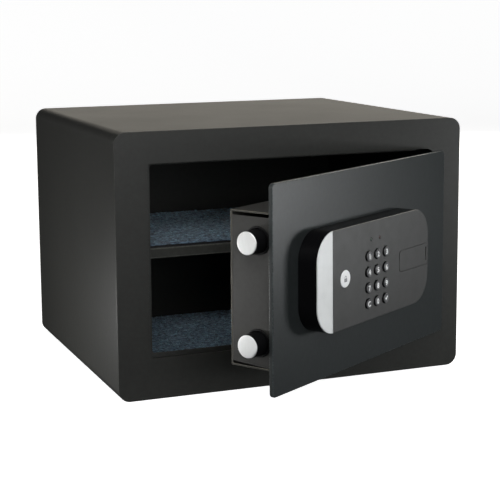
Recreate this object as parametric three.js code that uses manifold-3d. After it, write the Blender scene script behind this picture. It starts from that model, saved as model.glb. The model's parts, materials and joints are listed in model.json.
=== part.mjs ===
// In-room safe: a folded-steel body with a concealed-hinge door that carries a
// motorised two-bolt lock and a twelve-key control panel.
//
// Millimetres, +Z up, the door faces -Y and is hinged on the +X side. The origin
// is the centre of the footprint. The door stands ajar and its bolts are thrown.
import * as THREE from 'three';
import { mergeVertices } from 'three/addons/utils/BufferGeometryUtils.js';
import Module from 'manifold-3d';

const wasm = await Module();
wasm.setup();

// ---------------------------------------------------------------- dimensions
const WIDTH = 352;
const DEPTH = 300;
const HEIGHT = 248;
const CORNER_RADIUS = 11; // outer radius of the folded corners
const SHEET = 2; // body sheet
const FRAME_SHEET = 2.5; // front frame sheet
const GAP = 0.3; // between pieces that meet
const OVER = 1; // how far a cutter runs past the face it cuts

const FRONT = -DEPTH / 2;
const BACK = DEPTH / 2;
const LEFT = -WIDTH / 2;
const RIGHT = WIDTH / 2;

// Door opening in the front frame
const OPENING = { left: LEFT + 30.5, right: RIGHT - 28.5, bottom: 38.6, top: 218.8 };
const OPENING_RADIUS = { free: 4, hinge: 8 };
// The door stop stands behind the front sheet on a wall of its own. overlap is how
// far it runs outside the opening, and side, top and bottom are how far it shows.
const STOP = { sheet: 1.5, front: FRONT + 7.5, overlap: 9, end: OPENING.right - 16 };
const STOP_LIP = { side: 4.6, top: 2, bottom: 3.2, radius: 3 };

// Door
const DOOR_THICKNESS = 4;
const DOOR_RADIUS = { free: 4, hinge: 5 };
const DOOR_GAP = { free: 1.2, hinge: 2, height: 1 };
const DOOR_ANGLE = 32; // degrees open as modelled
const PIVOT = { x: RIGHT - 9, y: FRONT + 9 };
const DOOR = {
  left: OPENING.left + DOOR_GAP.free,
  right: OPENING.right - DOOR_GAP.hinge,
  bottom: OPENING.bottom + DOOR_GAP.height,
  top: OPENING.top - DOOR_GAP.height,
};
const DOOR_BACK = FRONT + DOOR_THICKNESS;

// Concealed hinges
const HINGE_LEVEL = { top: 200, bottom: 50 };
const HINGE_SHEET = 3;
const HINGE_EYE_RADIUS = 6;
const HINGE_THROAT = 23; // the arm curves round the frame edge at this radius
const HINGE_REACH = 33; // how far the arm reaches behind the pivot
const HINGE_RADIUS = { neck: 5, leg: 9 }; // rear corners of the arm
const HINGE_NECK = { left: -2.5, right: 5.5 }; // the bar from the eye, from the pivot
const HINGE_LEG = { near: -23.4, far: -34 }; // the leg on the door, from the pivot
const HINGE_TAB = { below: 3, above: 9 }; // the foot of the leg, from the arm's faces
const PIN = { radius: 2.5, drop: 6, point: 0.6, head: 3.9, headHeight: 1.8, headChamfer: 0.6 };
const BRACKET = { reach: 8, back: FRONT + 24, flange: 20, flangeSheet: 2.5 };
const BRACKET_RADIUS = { front: 3, back: 6 };

// Lock case behind the door
const CASE = { left: LEFT + 38.5, right: LEFT + 292, bottom: 61.8, top: 188.3, depth: 41.7 };
const CASE_SHEET = 1.8;
const CASE_TAPER = 2.2; // the end wall narrows this much towards the rear
const CASE_BACK = DOOR_BACK + CASE.depth;
const CASE_LUG = { width: 12, short: 3 }; // inward flange that takes the cover screws
const COVER = { bottom: 60, top: 192.7, sheet: 1.5 };
const SCREW = { hole: 1.9, shank: 1.5, length: 5, head: 3.6 };
const SCREW_SITES = { inset: 6, low: COVER.bottom + 12, high: CASE.top - 9 };
// The hole through door and case for the keypad cable
const CABLE_HOLE = { x: LEFT + 150, radius: 8 };
const RESET = { x: LEFT + 190, z: 152, hole: 3.4, flange: 4.4, stem: 2.9, proud: 1.8 };

// Bolts
const BOLT_RADIUS = 10;
const BOLT_CHAMFER = 1;
const BUSH = { bore: BOLT_RADIUS + 0.4, sleeve: BOLT_RADIUS + 1.3, hole: BOLT_RADIUS + 1.6 };
const BUSH_FLANGE = { radius: BOLT_RADIUS + 2.1, thickness: 0.9, edge: 0.3 };
const BUSH_DEPTH = 5; // how far a bush runs into the case
const BOLT_Y = FRONT + 19.5;
const BOLT_LEVELS = { upper: 168.8, lower: 82.5 };
const BOLT_PROUD = 16;
const BOLT_LENGTH = 38;
const BOLT_END = CASE.left - BOLT_PROUD;
const BOLT_TAIL = BOLT_END + BOLT_LENGTH;
const CARRIAGE = { width: 8, depth: 15, past: 9 }; // the bar behind the bolts

// Rack and pinion of the bolt drive
const GEAR_MODULE = 1;
const PINION_TEETH = 14;
const PITCH_RADIUS = (GEAR_MODULE * PINION_TEETH) / 2;
const DEDENDUM = 1.25 * GEAR_MODULE;
const PRESSURE_ANGLE = THREE.MathUtils.degToRad(20);
const BACKLASH = 0.7;
const PINION = { x: LEFT + 125, z: 132, width: 7, hub: 4, bore: 1.6 };
const RACK = { pitchLevel: PINION.z - PITCH_RADIUS, width: 6, arm: 6, end: LEFT + 152 };
const MOTOR = { radius: 8.5, bottom: PINION.z + 18, top: PINION.z + 50 };
const GEARBOX = { half: 16, bottom: PINION.z - 11, top: PINION.z + 19 };
const GEARBOX_DEPTH = { front: BOLT_Y + 5, back: CASE_BACK - 2 };
const POST = { radius: 3, spread: 12, z: PINION.z + 14 };

// Control panel on the door
const PANEL = { left: LEFT + 67.8, right: LEFT + 253.8, bottom: 85.5, top: 173, proud: 20 };
const PANEL_RADIUS = 25;
const PANEL_WALL = 2.2;
const PANEL_FACE = 3.2;
const PANEL_Z = (PANEL.bottom + PANEL.top) / 2;
const PANEL_FRONT = FRONT - PANEL.proud;
const END_BAND_WIDTH = 22.9;
const END_BAND_THICKNESS = 1.2;
const BADGE = { x: LEFT + 110.2, radius: 7.5, thickness: 1, proud: 0.4 };
const KEY_RADIUS = 4.3;
const KEY_CLEARANCE = 0.35;
const KEY_PROUD = 1.8;
const KEY_CROWN = { inset: 0.7, drop: 0.5 };
const KEY_FLANGE = { width: 1.2, thickness: 1.1 };
const KEY_PITCH = { x: 14.5, z: 14.1 };
const KEYPAD = { x: LEFT + 161.9, top: 143 };
const KEY_NAMES = [
  ['key_1', 'key_2', 'key_3'],
  ['key_4', 'key_5', 'key_6'],
  ['key_7', 'key_8', 'key_9'],
  ['key_clear', 'key_0', 'key_enter'],
];
const LED = { radius: 1.3, z: 157, x: LEFT + 159.7, proud: 0.4, flange: 0.7, flangeThickness: 1.5 };
const BOARD = { left: PANEL.left + 40, front: PANEL_FRONT + 8.6, sheet: 1.6, inset: 8 };
const BOARD_HOLE = { x: LEFT + 128, z: PANEL.top - 16, radius: 8 };

// Emergency lock under its sliding cover
const SLIDE_COVER = { left: LEFT + 201.7, height: 19.6, thickness: 1.7, radius: 4 };
const GRIP_SLOT = { x: LEFT + 250.1, width: 1.6, length: 13, depth: 1 };
const OVERRIDE = { x: LEFT + 222, z: PANEL_Z, barrel: 8.5, plug: 5.5, rear: DOOR_BACK + 5, tail: 3.5 };
const KEYWAY = { width: 1.8, height: 7.2, depth: 12 };
const CAM = { half: 5, below: 6, above: 20, sheet: 2.5 };

// Batteries
const CELLS = 4;
const CELL = { radius: 7.1, length: 50, pitch: 15.2, edge: 0.5, shoulder: 0.8, tip: 1, tipRadius: 2.7 };
const HOLDER = { x: LEFT + 245, bottom: 64.6, wall: 1.5, play: 1, front: DOOR_BACK + 22.5 };
const HATCH = { half: 32, below: -2, above: CELL.length + 2, radius: 3 }; // from the holder's bottom
const LID = { half: 36, below: 1, above: CELL.length + 5, sheet: 1.4, radius: 3 };
const LID_RIB = { count: 3, half: 9, first: 12, pitch: 3, width: 1.2, height: 0.6 };

// Shelf and mats
const SHELF = { front: FRONT + 98, back: BACK - 6, top: 122.5, lip: 10, sheet: 1.5, play: 1.5 };
const LEDGE = { width: 13, height: 14, sheet: 1.5, short: 6 };
const MAT = { thickness: 3.8, radius: 3, play: 1 };
const FLOOR_MAT_FRONT = FRONT + 9;

const ANCHOR_HOLE_RADIUS = 5;
const FLOOR_ANCHORS = { x: 110, y: 40 };
const REAR_ANCHORS = { x: 110, z: 90 };

// ----------------------------------------------------------------- materials
const paint = (name, color, roughness, metalness) =>
  new THREE.MeshStandardMaterial({ name, color, roughness, metalness });
const POWDER_COAT = paint('powder_coat', 0x2b2c2c, 0.55, 0.1);
const CASE_COAT = paint('case_coat', 0x3a3b39, 0.5, 0.2);
const PANEL_PLASTIC = paint('panel_plastic', 0x3c3d3c, 0.5, 0);
const SATIN_SILVER = paint('satin_silver', 0xd4d7d6, 0.35, 0.6);
const BADGE_WHITE = paint('badge_white', 0xe6e8e8, 0.35, 0);
const KEY_PLASTIC = paint('key_plastic', 0x2c2d2e, 0.4, 0);
const BOLT_CHROME = paint('bolt_chrome', 0xdfe2e3, 0.15, 1);
const ZINC = paint('zinc', 0xb4b6b4, 0.35, 0.9);
const BRASS = paint('brass', 0xb89b5a, 0.3, 0.9);
const BLACK_PLASTIC = paint('black_plastic', 0x151516, 0.45, 0);
const BOARD_GREEN = paint('board_green', 0x1f5a38, 0.5, 0);
const GREEN_LENS = paint('green_lens', 0x2f5b3c, 0.2, 0);
const RED_LENS = paint('red_lens', 0x6b2a2a, 0.2, 0);
const RESET_RED = paint('reset_red', 0xa62622, 0.4, 0);
const CELL_SLEEVE = paint('cell_sleeve', 0x2a2c30, 0.35, 0.1);
const CARPET = paint('carpet', 0x2c3a52, 0.95, 0);

// ------------------------------------------------------------------- shapes
// A rectangle with its own radius on each corner: bottom-left, bottom-right,
// top-right, top-left.
function roundedRect(x0, y0, x1, y1, radii) {
  const [bl, br, tr, tl] = Array.isArray(radii) ? radii : [radii, radii, radii, radii];
  const quarter = Math.PI / 2;
  const shape = new THREE.Shape();
  shape.moveTo(x0 + bl, y0);
  shape.lineTo(x1 - br, y0);
  if (br > 0) shape.absarc(x1 - br, y0 + br, br, -quarter, 0);
  shape.lineTo(x1, y1 - tr);
  if (tr > 0) shape.absarc(x1 - tr, y1 - tr, tr, 0, quarter);
  shape.lineTo(x0 + tl, y1);
  if (tl > 0) shape.absarc(x0 + tl, y1 - tl, tl, quarter, 2 * quarter);
  shape.lineTo(x0, y0 + bl);
  if (bl > 0) shape.absarc(x0 + bl, y0 + bl, bl, 2 * quarter, 3 * quarter);
  return shape;
}

function polygon(points) {
  return new THREE.Shape(points.map(([a, b]) => new THREE.Vector2(a, b)));
}

const extrude = (shape, depth, steps) =>
  new THREE.ExtrudeGeometry(shape, { depth, bevelEnabled: false, curveSegments: steps });

// A shape drawn in X and Z, carried from y0 to y1
function alongY(shape, y0, y1, steps = 5) {
  return extrude(shape, y1 - y0, steps).rotateX(Math.PI / 2).translate(0, y1, 0);
}

// A shape drawn in X and Y, carried from z0 to z1
function alongZ(shape, z0, z1, steps = 4) {
  return extrude(shape, z1 - z0, steps).translate(0, 0, z0);
}

// A shape drawn in Y and Z, carried from x0 to x1
const YZ_TO_X = new THREE.Matrix4().makeBasis(
  new THREE.Vector3(0, 1, 0),
  new THREE.Vector3(0, 0, 1),
  new THREE.Vector3(1, 0, 0),
);
function alongX(shape, x0, x1, steps = 4) {
  return extrude(shape, x1 - x0, steps).applyMatrix4(YZ_TO_X).translate(x0, 0, 0);
}

function box(x0, x1, y0, y1, z0, z1) {
  return new THREE.BoxGeometry(x1 - x0, y1 - y0, z1 - z0).translate(
    (x0 + x1) / 2,
    (y0 + y1) / 2,
    (z0 + z1) / 2,
  );
}

function rodX(radius, x0, x1, y, z, sides = 16) {
  return new THREE.CylinderGeometry(radius, radius, x1 - x0, sides)
    .rotateZ(Math.PI / 2)
    .translate((x0 + x1) / 2, y, z);
}

function rodY(radius, y0, y1, x, z, sides = 16) {
  return new THREE.CylinderGeometry(radius, radius, y1 - y0, sides)
    .translate(x, (y0 + y1) / 2, z);
}

function rodZ(radius, z0, z1, x, y, sides = 16) {
  return new THREE.CylinderGeometry(radius, radius, z1 - z0, sides)
    .rotateX(Math.PI / 2)
    .translate(x, y, (z0 + z1) / 2);
}

// A turned piece: profile points are [radius, height], bottom to top, about +Y
function turned(profile, sides) {
  return new THREE.LatheGeometry(profile.map(([r, h]) => new THREE.Vector2(r, h)), sides);
}

// ----------------------------------------------------------------- booleans
function solid(geometry) {
  const bare = new THREE.BufferGeometry();
  bare.setAttribute('position', geometry.attributes.position.clone());
  if (geometry.index) bare.setIndex(geometry.index.clone());
  const merged = mergeVertices(bare, 1e-4);
  const mesh = new wasm.Mesh({
    numProp: 3,
    vertProperties: new Float32Array(merged.attributes.position.array),
    triVerts: new Uint32Array(merged.index.array),
  });
  return new wasm.Manifold(mesh);
}

const join = (first, ...rest) =>
  rest.reduce((sum, geometry) => sum.add(solid(geometry)), solid(first));

function shell(manifold) {
  const mesh = manifold.getMesh();
  const geometry = new THREE.BufferGeometry();
  geometry.setAttribute('position', new THREE.BufferAttribute(mesh.vertProperties, 3));
  geometry.setIndex(new THREE.BufferAttribute(mesh.triVerts, 1));
  return geometry;
}

// Joins the geometries in add, then cuts away the ones in cut
function build(add, cut = []) {
  let body = join(...add);
  for (const geometry of cut) body = body.subtract(solid(geometry));
  return shell(body);
}

// ---------------------------------------------------------------- the groups
const safe = new THREE.Group();
const door = new THREE.Group();
door.position.set(PIVOT.x, PIVOT.y, 0);
door.rotation.z = THREE.MathUtils.degToRad(DOOR_ANGLE);
safe.add(door);

function place(group, name, geometry, material) {
  const mesh = new THREE.Mesh(geometry, material);
  mesh.name = name;
  group.add(mesh);
  return mesh;
}

const onBody = (name, geometry, material) => place(safe, name, geometry, material);

// Door pieces are drawn with the door closed and turn with it about the pivot
const onDoor = (name, geometry, material) =>
  place(door, name, geometry.translate(-PIVOT.x, -PIVOT.y, 0), material);

// --------------------------------------------------------------------- body
function bodyOutline(inset) {
  return roundedRect(LEFT + inset, inset, RIGHT - inset, HEIGHT - inset, CORNER_RADIUS - inset);
}

function buildBody() {
  const wrapFront = FRONT + FRAME_SHEET + GAP;
  const wrapBack = BACK - SHEET - GAP;
  const floorAnchors = [-1, 1].map((side) =>
    rodZ(ANCHOR_HOLE_RADIUS, -OVER, SHEET + OVER, side * FLOOR_ANCHORS.x, FLOOR_ANCHORS.y, 14));
  onBody('body_wrap', build(
    [alongY(bodyOutline(0), wrapFront, wrapBack)],
    [alongY(bodyOutline(SHEET), wrapFront - OVER, wrapBack + OVER), ...floorAnchors],
  ), POWDER_COAT);

  const rearAnchors = [-1, 1].map((side) =>
    rodY(ANCHOR_HOLE_RADIUS, BACK - SHEET - OVER, BACK + OVER, side * REAR_ANCHORS.x, REAR_ANCHORS.z));
  onBody('back_panel', build(
    [alongY(bodyOutline(0), BACK - SHEET, BACK)],
    rearAnchors,
  ), POWDER_COAT);
}

function buildFrame() {
  const { free, hinge } = OPENING_RADIUS;
  const { left, right, bottom, top } = OPENING;
  const sheetBack = FRONT + FRAME_SHEET;
  const opening = roundedRect(left, bottom, right, top, [free, hinge, hinge, free]);
  onBody('front_frame', build(
    [alongY(bodyOutline(0), FRONT, sheetBack)],
    [alongY(opening, FRONT - OVER, sheetBack + OVER)],
  ), POWDER_COAT);

  // A shallow tray whose floor is the stop; the hinge side stays open for the arms
  const { sheet, front, overlap, end } = STOP;
  const back = front + sheet;
  const wall = overlap - sheet;
  const { radius } = STOP_LIP;
  const window = roundedRect(left + STOP_LIP.side, bottom + STOP_LIP.bottom,
    end + OVER, top - STOP_LIP.top, [radius, 0, 0, radius]);
  onBody('door_stop_frame', build(
    [box(left - overlap, end, sheetBack + GAP, back, bottom - overlap, top + overlap)],
    [
      box(left - wall, end + OVER, sheetBack, front, bottom - wall, top + wall),
      alongY(window, front - OVER, back + OVER),
    ],
  ), POWDER_COAT);
}

// Brackets weld to the side wall behind the frame and hold the pivot pins. The
// flange and the pin's head point up from the level when up is 1, down when -1.
function buildHingeBracket(name, pinName, level, up) {
  const { reach, back, flange, flangeSheet } = BRACKET;
  const { front: frontRadius, back: backRadius } = BRACKET_RADIUS;
  const wall = RIGHT - SHEET - GAP;
  const front = FRONT + FRAME_SHEET + 2 * GAP;
  const z0 = up > 0 ? level : level - HINGE_SHEET;
  const flangeLow = up > 0 ? level : level - flange;
  onBody(name, build(
    [
      alongZ(roundedRect(PIVOT.x - reach, front, wall, back, [frontRadius, 0, 0, backRadius]),
        z0, z0 + HINGE_SHEET),
      box(wall - flangeSheet, wall, front, back, flangeLow, flangeLow + flange),
    ],
    [rodZ(PIN.radius + GAP, z0 - OVER, z0 + HINGE_SHEET + OVER, PIVOT.x, PIVOT.y)],
  ), POWDER_COAT);

  // The pin drops through bracket and arm; its head rests outside the bracket
  const headBase = HINGE_SHEET + GAP;
  const headTop = headBase + PIN.headHeight;
  const pin = turned([
    [0, -PIN.drop],
    [PIN.radius - PIN.point, -PIN.drop],
    [PIN.radius, PIN.point - PIN.drop],
    [PIN.radius, headBase],
    [PIN.head, headBase],
    [PIN.head, headTop - PIN.headChamfer],
    [PIN.head - PIN.headChamfer, headTop],
    [0, headTop],
  ], 14).rotateX(up * Math.PI / 2).translate(PIVOT.x, PIVOT.y, level);
  onBody(pinName, pin, ZINC);
}

function buildShelf() {
  const { front, back, top, lip, sheet, play } = SHELF;
  const side = SHEET + play;
  const profile = polygon([
    [front, top],
    [front, top - lip],
    [front + sheet, top - lip],
    [front + sheet, top - sheet],
    [back - sheet, top - sheet],
    [back - sheet, top - lip / 2],
    [back, top - lip / 2],
    [back, top],
  ]);
  onBody('shelf', alongX(profile, LEFT + side, RIGHT - side), POWDER_COAT);

  const ledgeTop = top - sheet - GAP;
  for (const [name, outward] of [['shelf_ledge_left', -1], ['shelf_ledge_right', 1]]) {
    const wall = outward * (WIDTH / 2 - SHEET - GAP);
    const angle = polygon([
      [wall, ledgeTop - LEDGE.height],
      [wall, ledgeTop],
      [wall - outward * LEDGE.width, ledgeTop],
      [wall - outward * LEDGE.width, ledgeTop - LEDGE.sheet],
      [wall - outward * LEDGE.sheet, ledgeTop - LEDGE.sheet],
      [wall - outward * LEDGE.sheet, ledgeTop - LEDGE.height],
    ]);
    onBody(name, alongY(angle, front + LEDGE.short, back - LEDGE.short), POWDER_COAT);
  }
}

function buildMat(name, left, right, front, back, rest) {
  const outline = roundedRect(left, front, right, back, MAT.radius);
  onBody(name, alongZ(outline, rest + GAP, rest + GAP + MAT.thickness, 3), CARPET);
}

function buildMats() {
  const side = SHEET + SHELF.play + MAT.play;
  buildMat('shelf_mat', LEFT + side, RIGHT - side, SHELF.front + MAT.play / 2,
    SHELF.back - 2 * MAT.play, SHELF.top);
  const inset = CORNER_RADIUS + MAT.play;
  buildMat('floor_mat', LEFT + inset, RIGHT - inset, FLOOR_MAT_FRONT,
    BACK - SHEET - 2 * MAT.play, SHEET);
}

// --------------------------------------------------------------------- door
// The openings that the keypad cable and the emergency lock need, y0 to y1
function doorHoles(y0, y1) {
  return [
    rodY(CABLE_HOLE.radius, y0 - OVER, y1 + OVER, CABLE_HOLE.x, PANEL_Z),
    rodY(OVERRIDE.barrel + GAP, y0 - OVER, y1 + OVER, OVERRIDE.x, OVERRIDE.z, 20),
  ];
}

function buildDoorPlate() {
  const { free, hinge } = DOOR_RADIUS;
  const outline = roundedRect(DOOR.left, DOOR.bottom, DOOR.right, DOOR.top,
    [free, hinge, hinge, free]);
  onDoor('door_plate', build([alongY(outline, FRONT, DOOR_BACK)], doorHoles(FRONT, DOOR_BACK)),
    POWDER_COAT);
}

// A swan-neck arm: an eye on the pivot, a throat that clears the frame edge as
// the door swings, and a leg with a tab on the back of the door. Drawn about the
// pivot.
function buildHingeArm(name, level) {
  const { near, far } = HINGE_LEG;
  const { left, right } = HINGE_NECK;
  const { neck, leg } = HINGE_RADIUS;
  const top = level + HINGE_SHEET;
  const doorSide = DOOR_BACK + GAP - PIVOT.y;
  const outline = roundedRect(far, doorSide, right, HINGE_REACH, [0, 0, neck, leg]);
  const freeSide = right + OVER;
  const throat = solid(rodZ(HINGE_THROAT, level - OVER, top + OVER, 0, 0, 32))
    .add(solid(box(near, freeSide, doorSide - OVER, 0, level - OVER, top + OVER)))
    .subtract(solid(box(left, HINGE_THROAT, 0, HINGE_REACH, level - 2 * OVER, top + 2 * OVER)));
  const arm = solid(alongZ(outline, level, top))
    .subtract(throat)
    .add(solid(rodZ(HINGE_EYE_RADIUS, level, top, 0, 0, 20)))
    .add(solid(box(far, near, doorSide, doorSide + HINGE_SHEET,
      level - HINGE_TAB.below, top + HINGE_TAB.above)))
    .subtract(solid(rodZ(PIN.radius + GAP, level - OVER, top + OVER, 0, 0)));
  onDoor(name, shell(arm).translate(PIVOT.x, PIVOT.y, 0), ZINC);
}

function caseScrewSites() {
  const { inset, low, high } = SCREW_SITES;
  return [CASE.left + inset, CASE.right - inset].flatMap((x) => [[x, low], [x, high]]);
}

const screwHoles = (y0, y1) =>
  caseScrewSites().map(([x, z]) => rodY(SCREW.hole, y0 - OVER, y1 + OVER, x, z, 12));

function buildLockCase() {
  const floor = DOOR_BACK + GAP;
  const floorBack = floor + CASE_SHEET;
  const { left, right, bottom, top } = CASE;
  const end = polygon([
    [floor, bottom],
    [CASE_BACK, bottom + CASE_TAPER],
    [CASE_BACK, top],
    [floor, top],
  ]);
  const lug = (x0) => box(x0, x0 + CASE_LUG.width, CASE_BACK - CASE_SHEET, CASE_BACK,
    bottom + CASE_TAPER + CASE_LUG.short, top - CASE_LUG.short);
  const bushHoles = Object.values(BOLT_LEVELS).map((z) =>
    rodX(BUSH.hole, left - OVER, left + CASE_SHEET + OVER, BOLT_Y, z, 24));
  onDoor('lock_case', build(
    [
      box(left, right, floor, floorBack, bottom, top),
      alongX(end, left, left + CASE_SHEET),
      alongX(end, right - CASE_SHEET, right),
      lug(left),
      lug(right - CASE_LUG.width),
    ],
    [...bushHoles, ...doorHoles(floor, floorBack), ...screwHoles(CASE_BACK - CASE_SHEET, CASE_BACK)],
  ), CASE_COAT);
}

function buildCaseCover() {
  const { bottom, top, sheet } = COVER;
  const inside = CASE_BACK + GAP;
  const outside = inside + sheet;
  const flangeFront = DOOR_BACK + GAP;
  const profile = polygon([
    [flangeFront, bottom],
    [outside, bottom],
    [outside, top],
    [flangeFront, top],
    [flangeFront, top - sheet],
    [inside, top - sheet],
    [inside, bottom + sheet],
    [flangeFront, bottom + sheet],
  ]);
  onDoor('case_cover', build(
    [alongX(profile, CASE.left, CASE.right)],
    [
      alongY(holderOutline(HATCH), inside - OVER, outside + OVER),
      rodY(RESET.hole, inside - OVER, outside + OVER, RESET.x, RESET.z),
      ...screwHoles(inside, outside),
    ],
  ), CASE_COAT);
  buildCoverScrews(outside + GAP);
  buildBatteryLid(outside + GAP);
  buildResetButton(outside);
}

function buildCoverScrews(seat) {
  caseScrewSites().forEach(([x, z], index) => {
    const screw = turned([
      [0, -SCREW.length],
      [SCREW.shank, -SCREW.length],
      [SCREW.shank, 0],
      [SCREW.head, 0],
      [SCREW.head - 0.3, 1.2],
      [SCREW.head - 1.6, 2],
      [0, 2.2],
    ], 12).translate(x, seat, z);
    onDoor(`case_screw_${index + 1}`, screw, ZINC);
  });
}

// An outline in front of the cells, given from the holder's middle and bottom
function holderOutline({ half, below, above, radius }) {
  return roundedRect(HOLDER.x - half, HOLDER.bottom - below, HOLDER.x + half,
    HOLDER.bottom + above, radius);
}

function buildBatteryLid(seat) {
  const face = seat + LID.sheet;
  const ribs = Array.from({ length: LID_RIB.count }, (_, i) => {
    const z = HOLDER.bottom + LID_RIB.first + i * LID_RIB.pitch;
    return box(HOLDER.x - LID_RIB.half, HOLDER.x + LID_RIB.half, seat + LID.sheet / 2,
      face + LID_RIB.height, z, z + LID_RIB.width);
  });
  onDoor('battery_cover', build([alongY(holderOutline(LID), seat, face), ...ribs]), BLACK_PLASTIC);
}

function buildResetButton(coverFace) {
  const { x, z, flange, stem, proud } = RESET;
  const button = turned([
    [0, -3],
    [flange, -3],
    [flange, -1.8],
    [stem, -1.8],
    [stem, proud - 0.6],
    [stem - 0.6, proud],
    [0, proud],
  ], 16).translate(x, coverFace, z);
  onDoor('reset_button', button, RESET_RED);
}

function buildBatteries() {
  const { x, bottom, wall, play, front } = HOLDER;
  const half = (CELLS * CELL.pitch) / 2 + wall;
  const rear = CASE_BACK - GAP - 0.2;
  const length = CELL.length + 2 * play;
  onDoor('battery_holder', build(
    [box(x - half - wall, x + half + wall, front, rear, bottom, bottom + length + 2 * wall)],
    [box(x - half, x + half, front + wall, rear + OVER, bottom + wall, bottom + wall + length)],
  ), BLACK_PLASTIC);
  for (let i = 0; i < CELLS; i += 1) {
    const flipped = i % 2 === 1;
    const cell = turned([
      [0, 0],
      [CELL.radius - CELL.edge, 0],
      [CELL.radius, CELL.edge],
      [CELL.radius, CELL.length - CELL.tip - CELL.shoulder],
      [CELL.radius - CELL.shoulder, CELL.length - CELL.tip],
      [CELL.tipRadius, CELL.length - CELL.tip],
      [CELL.tipRadius, CELL.length],
      [0, CELL.length],
    ], 14).rotateX(flipped ? -Math.PI / 2 : Math.PI / 2);
    cell.translate(x + (i - (CELLS - 1) / 2) * CELL.pitch, front + wall + GAP + CELL.radius,
      bottom + wall + play + (flipped ? CELL.length : 0));
    onDoor(`battery_${i + 1}`, cell, CELL_SLEEVE);
  }
}

// -------------------------------------------------------------- bolt drive
function buildBolt(level, z) {
  const bolt = turned([
    [0, 0],
    [BOLT_RADIUS - BOLT_CHAMFER, 0],
    [BOLT_RADIUS, BOLT_CHAMFER],
    [BOLT_RADIUS, BOLT_LENGTH],
    [0, BOLT_LENGTH],
  ], 24).rotateZ(-Math.PI / 2).translate(BOLT_END, BOLT_Y, z);
  onDoor(`bolt_${level}`, bolt, BOLT_CHROME);

  const { radius, thickness, edge } = BUSH_FLANGE;
  const front = -GAP - thickness;
  const back = GAP + CASE_SHEET + BUSH_DEPTH;
  const bush = turned([
    [BUSH.bore, front],
    [radius - edge, front],
    [radius, front + edge],
    [radius, -GAP],
    [BUSH.sleeve, -GAP],
    [BUSH.sleeve, back],
    [BUSH.bore, back],
    [BUSH.bore, front],
  ], 24).rotateZ(-Math.PI / 2).translate(CASE.left, BOLT_Y, z);
  onDoor(`bolt_bush_${level}`, bush, BLACK_PLASTIC);
}

// The carriage ties the bolts together and carries the rack on its arm
function buildCarriage() {
  const { width, depth, past } = CARRIAGE;
  const left = BOLT_TAIL + GAP;
  const right = left + width;
  const rackFront = BOLT_Y - RACK.width / 2;
  const rackBack = BOLT_Y + RACK.width / 2;
  const root = RACK.pitchLevel - DEDENDUM;
  onDoor('bolt_carriage', build([
    box(left, right, BOLT_Y - depth / 2, BOLT_Y + depth / 2,
      BOLT_LEVELS.lower - past, BOLT_LEVELS.upper + past),
    box(right - OVER, RACK.end, rackFront, rackBack, root - RACK.arm, root),
    alongY(rackTeeth(right + 4, RACK.end - 2, root), rackFront, rackBack),
  ]), ZINC);
}

// Teeth stand on the root line, a gap between two of them under the pinion
function rackTeeth(x0, x1, root) {
  const pitch = Math.PI * GEAR_MODULE;
  const height = 2.1 * GEAR_MODULE;
  const flank = height * Math.tan(PRESSURE_ANGLE);
  const foot = pitch / 2 - BACKLASH / 2 + 0.6 * flank;
  const first = PINION.x + pitch * (Math.ceil((x0 - PINION.x) / pitch) + 0.5);
  const points = [[x0, root - OVER], [x0, root]];
  for (let x = first; x + foot / 2 < x1; x += pitch) {
    points.push([x - foot / 2, root], [x - foot / 2 + flank, root + height],
      [x + foot / 2 - flank, root + height], [x + foot / 2, root]);
  }
  points.push([x1, root], [x1, root - OVER]);
  return polygon(points.reverse());
}

// Straight-sided teeth about the origin, one of them pointing straight down
function pinionOutline() {
  const halfPitch = Math.PI / PINION_TEETH;
  const rootRadius = PITCH_RADIUS - DEDENDUM;
  const tip = PITCH_RADIUS + GEAR_MODULE;
  const foot = 0.62 * halfPitch - BACKLASH / 4 / PITCH_RADIUS;
  const crest = 0.26 * halfPitch;
  const tooth = [[-foot, rootRadius], [-crest, tip], [crest, tip], [foot, rootRadius]];
  const points = [];
  for (let i = 0; i < PINION_TEETH; i += 1) {
    const centre = -Math.PI / 2 + 2 * halfPitch * i;
    for (const [angle, radius] of tooth) {
      points.push([radius * Math.cos(centre + angle), radius * Math.sin(centre + angle)]);
    }
  }
  return polygon(points);
}

function buildDrive() {
  const front = BOLT_Y - PINION.width / 2;
  const back = BOLT_Y + PINION.width / 2;
  const wheel = alongY(pinionOutline(), front, back);
  const hub = rodY(PINION.hub, front - 2, back + 1.2, 0, 0, 12);
  const bore = rodY(PINION.bore, front - 2 - OVER, back + 0.2, 0, 0, 8);
  onDoor('drive_pinion', build([wheel, hub], [bore]).translate(PINION.x, 0, PINION.z), BRASS);

  const { front: boxFront, back: boxBack } = GEARBOX_DEPTH;
  const middle = (boxFront + boxBack) / 2;
  const outline = roundedRect(PINION.x - GEARBOX.half, GEARBOX.bottom,
    PINION.x + GEARBOX.half, GEARBOX.top, 2);
  const posts = [-1, 1].map((side) => rodY(POST.radius, DOOR_BACK + 2 * GAP + CASE_SHEET,
    boxFront + OVER, PINION.x + side * POST.spread, POST.z, 10));
  onDoor('gear_motor', build([
    alongY(outline, boxFront, boxBack, 2),
    rodZ(MOTOR.radius, MOTOR.bottom, MOTOR.top, PINION.x, middle),
    rodZ(3.5, MOTOR.top - OVER, MOTOR.top + 2, PINION.x, middle, 10),
    ...posts,
  ]), ZINC);
}

// ------------------------------------------------------------ control panel
const panelOutline = (inset) => roundedRect(PANEL.left + inset, PANEL.bottom + inset,
  PANEL.right - inset, PANEL.top - inset, PANEL_RADIUS - inset);

function keySites() {
  return KEY_NAMES.flatMap((row, r) => row.map((name, c) => ({
    name,
    x: KEYPAD.x + (c - 1) * KEY_PITCH.x,
    z: KEYPAD.top - r * KEY_PITCH.z,
  })));
}

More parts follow.
